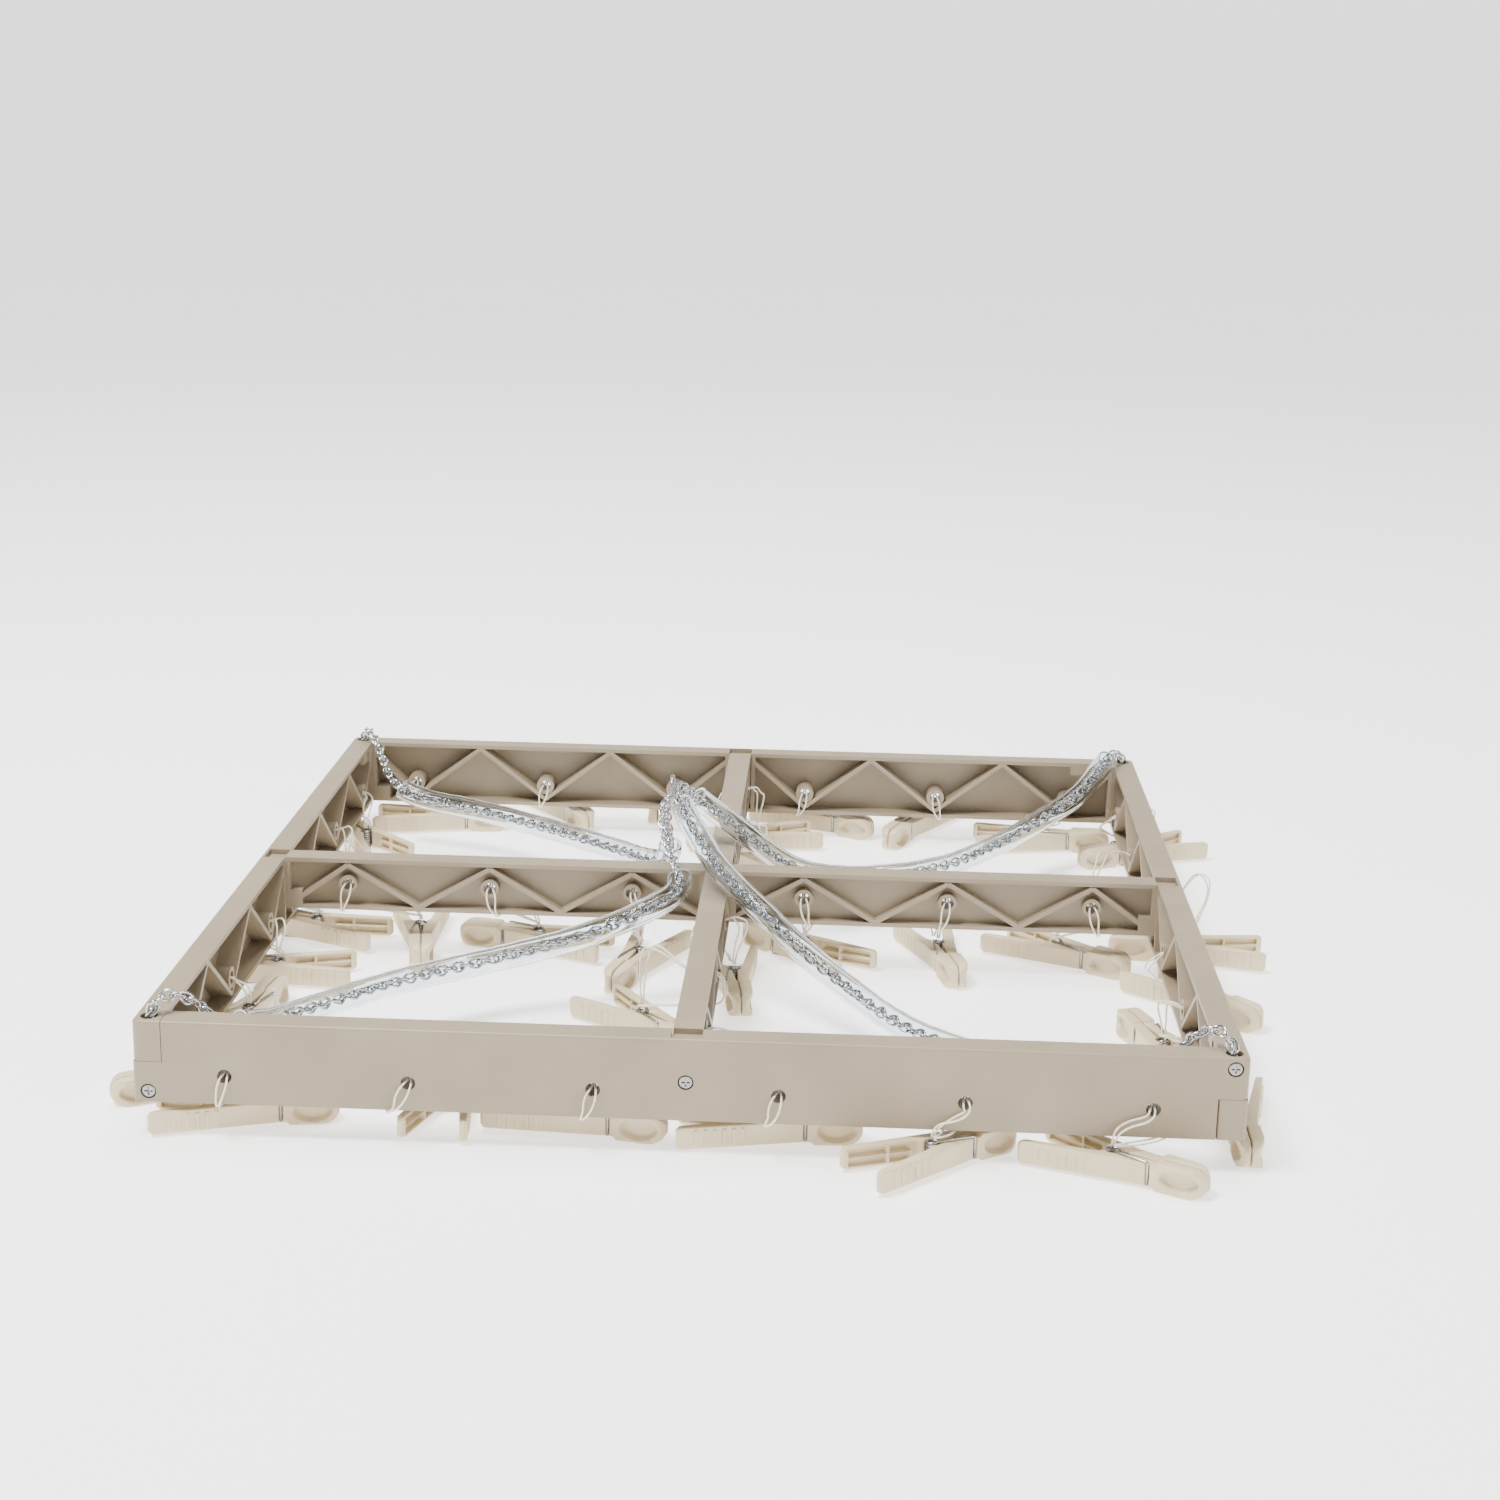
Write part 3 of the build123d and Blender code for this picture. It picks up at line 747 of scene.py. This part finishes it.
def lever_mesh():
    """Left half of a peg about its spring's axis, jaw towards +x."""
    bm = bmesh.new()
    rings = []
    for x in lever_stations():
        rings.append([bm.verts.new(Vector((x, y, z)) * MM) for y, z in lever_section(x)])
    count = len(rings[0])
    for low, high in zip(rings, rings[1:]):
        for k in range(count):
            j = (k + 1) % count
            bm.faces.new((low[k], low[j], high[j], high[k]))
    bm.faces.new(rings[0][::-1])
    bm.faces.new(rings[-1])
    holder = new_object("lever_shape", bm)
    mesh = holder.data
    bpy.data.objects.remove(holder)
    mesh.materials.append(PEG_PLASTIC)
    mesh.set_sharp_from_angle(angle=math.radians(42))
    return mesh


def arm_path(side_y):
    """Spring arm: from the coil along the lever's edge, then down across the groove."""
    level = 11.4
    points = [Vector((-0.3, side_y * 2.45, level)), Vector((6, side_y * 3.5, level)),
              Vector((GROOVE_X - 0.9, side_y * 5.3, level))]
    for angle in (25, 50, 75):
        turn = math.radians(angle)
        points.append(Vector((GROOVE_X - 0.9 + 0.9 * math.sin(turn), side_y * 5.3,
                              level - 0.9 + 0.9 * math.cos(turn))))
    points.append(Vector((GROOVE_X, side_y * 5.3, level - 1.1)))
    points.append(Vector((GROOVE_X, side_y * 5.3, 1.5)))
    return [p * MM for p in points]


def spring_mesh():
    """Coil with the arm on the right-hand lever."""
    bm = bmesh.new()
    turns = 8.25
    steps = 120
    coil = []
    for k in range(steps + 1):
        angle = -math.pi / 2 + 2 * math.pi * turns * k / steps
        level = 0.75 + 10.6 * k / steps
        coil.append(Vector((COIL_R * math.cos(angle), COIL_R * math.sin(angle), level)) * MM)
    add_tube(bm, coil, 0.56 * MM, 8)
    add_tube(bm, arm_path(-1), 0.52 * MM, 8)
    holder = new_object("spring_shape", bm)
    mesh = holder.data
    bpy.data.objects.remove(holder)
    mesh.materials.append(SPRING_STEEL)
    return mesh


def arm_mesh():
    """Arm on the left-hand lever, drawn on the lever's own upper edge."""
    bm = bmesh.new()
    flip = Matrix.Translation((0, 0, PEG_H)) @ Matrix.Rotation(math.pi, 4, "X")
    add_tube(bm, [flip @ p for p in arm_path(-1)], 0.52 * MM, 8)
    holder = new_object("arm_shape", bm)
    mesh = holder.data
    bpy.data.objects.remove(holder)
    mesh.materials.append(SPRING_STEEL)
    return mesh


def place_piece(name, mesh, matrix, slot, body, *nodes):
    """Object on a shared mesh, with its body and the nodes that it stands for; the slot argument is
    not used.
    """
    obj = link(bpy.data.objects.new(name, mesh))
    obj.matrix_world = matrix
    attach(obj, body)
    if nodes:
        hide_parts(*nodes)
    return obj


def build_pegs():
    """Each peg: the lever that opens, the lever that stays, the spring and its free arm."""
    lever = lever_mesh()
    spring = spring_mesh()
    arm = arm_mesh()
    over = Matrix.Translation((0, 0, PEG_H)) @ Matrix.Rotation(math.pi, 4, "X")
    for group, pegs in PEGS.items():
        for index, (x, y, heading, side) in enumerate(pegs):
            spot = Matrix.Translation(Vector((x, y, 0)) * MM + ORIGIN)
            spot = spot @ Matrix.Rotation(math.radians(heading), 4, "Z")
            moving = spot if side > 0 else spot @ over
            still = spot @ over if side > 0 else spot
            tag = f"{group}_{index + 1}"
            body = f"lever_{tag}"
            place_piece(f"jaw_{tag}", lever, moving, "peg_plastic", body, f"peg_{tag}")
            place_piece(f"back_{tag}", lever, still, "peg_plastic", "frame", f"pegs_{group}")
            place_piece(f"spring_{tag}", spring, moving, "spring_steel", "frame", "peg_springs")
            place_piece(f"arm_{tag}", arm, moving, "spring_steel", body)


build_pegs()


# ---------------------------------------------------------------- frame

def soften(obj, width):
    """Small rounded edges on a CAD node."""
    bevel = obj.modifiers.new("edges", "BEVEL")
    bevel.width = width
    bevel.segments = 2
    bevel.limit_method = "ANGLE"
    bevel.angle_limit = math.radians(40)
    bevel.use_clamp_overlap = True
    bevel.harden_normals = False


def dress_frame():
    """Plastic and rounded edges on the rails and crossbars, steel on the screws."""
    nodes = frame["nodes"]
    for name in RAILS + BARS:
        obj = nodes[name]
        for k in range(max(1, len(obj.material_slots))):
            if not obj.material_slots:
                obj.data.materials.append(FRAME_PLASTIC)
            obj.material_slots[k].material = FRAME_PLASTIC
        soften(obj, 0.4 * MM)
    screws = nodes["screws"]
    for slot in screws.material_slots:
        slot.material = SCREW_STEEL


dress_frame()


# ---------------------------------------------------------------- floor and light

def add_stage():
    """White sweep: a flat round floor whose far edge curves up like a bowl."""
    profile = [(0.4, 0), (4, 0)]
    for k in range(1, 13):
        turn = math.radians(80 * k / 12)
        profile.append((4 + 2.2 * math.sin(turn), 2.2 - 2.2 * math.cos(turn)))
    bm = bmesh.new()
    middle = bm.verts.new((0, 0, 0))
    steps = 96
    rings = []
    for radius, height in profile:
        rings.append([bm.verts.new((radius * math.cos(2 * math.pi * k / steps),
                                    radius * math.sin(2 * math.pi * k / steps), height))
                      for k in range(steps)])
    for k in range(steps):
        j = (k + 1) % steps
        bm.faces.new((middle, rings[0][k], rings[0][j]))
        for low, high in zip(rings, rings[1:]):
            bm.faces.new((low[k], high[k], high[j], low[j]))
    floor = new_object("floor", bm)
    material, tree, shader = node_material("floor", (0.93, 0.93, 0.93), 0.6)
    vary_colour(tree, shader, noise(tree, 2, 2), (0.925, 0.925, 0.925), (0.935, 0.935, 0.935))
    shader.inputs["Emission Color"].default_value = (1, 1, 1, 1)
    shader.inputs["Emission Strength"].default_value = 1.25
    floor.data.materials.append(material)


def add_light(name, place, size, power):
    """White square area light, aimed at the middle of the floor."""
    data = bpy.data.lights.new(name, "AREA")
    data.shape = "SQUARE"
    data.size = size
    data.energy = power
    lamp = link(bpy.data.objects.new(name, data))
    lamp.location = place
    aim = -Vector(place)
    lamp.rotation_euler = aim.to_track_quat("-Z", "Y").to_euler()


def add_world():
    """Even dim white surroundings."""
    world = bpy.data.worlds.new("world")
    bpy.context.scene.world = world
    world.use_nodes = True
    world.node_tree.nodes["Background"].inputs["Color"].default_value = (1, 1, 1, 1)
    world.node_tree.nodes["Background"].inputs["Strength"].default_value = 0.25


add_stage()
add_light("key", (-0.7, -0.5, 1.9), 0.6, 80)
add_light("fill", (1.4, -1.0, 1.1), 1.0, 12)
add_light("top", (0, 0.5, 2.2), 1.0, 48)
add_world()
